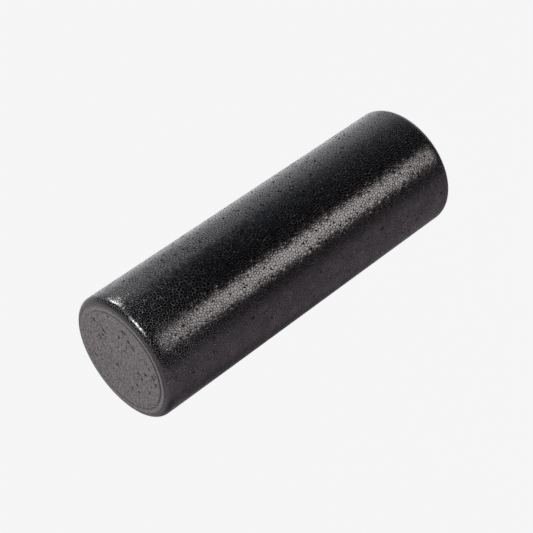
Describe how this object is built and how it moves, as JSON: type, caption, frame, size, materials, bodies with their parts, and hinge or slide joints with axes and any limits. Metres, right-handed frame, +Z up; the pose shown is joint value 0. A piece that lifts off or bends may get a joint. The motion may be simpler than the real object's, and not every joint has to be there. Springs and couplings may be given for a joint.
{
  "type": "foam roller",
  "caption": "Solid round foam roller for massage and exercise: a moulded bead-foam cylinder with rounded end edges and a shallow ring round each flat end face.",
  "frame": {"origin": "middle of the lowest line of the lying roller, where it rests on the floor", "axes": "+X along the roller's axis, +Z up, +Y across the roller"},
  "size_m": [0.457, 0.1508, 0.151],
  "materials": {
    "bead_foam": "black moulded bead foam with a satin, pebbled skin and small pits between the beads"
  },
  "bodies": {
    "root": {"foam_body": "bead_foam"}
  },
  "joints": []
}
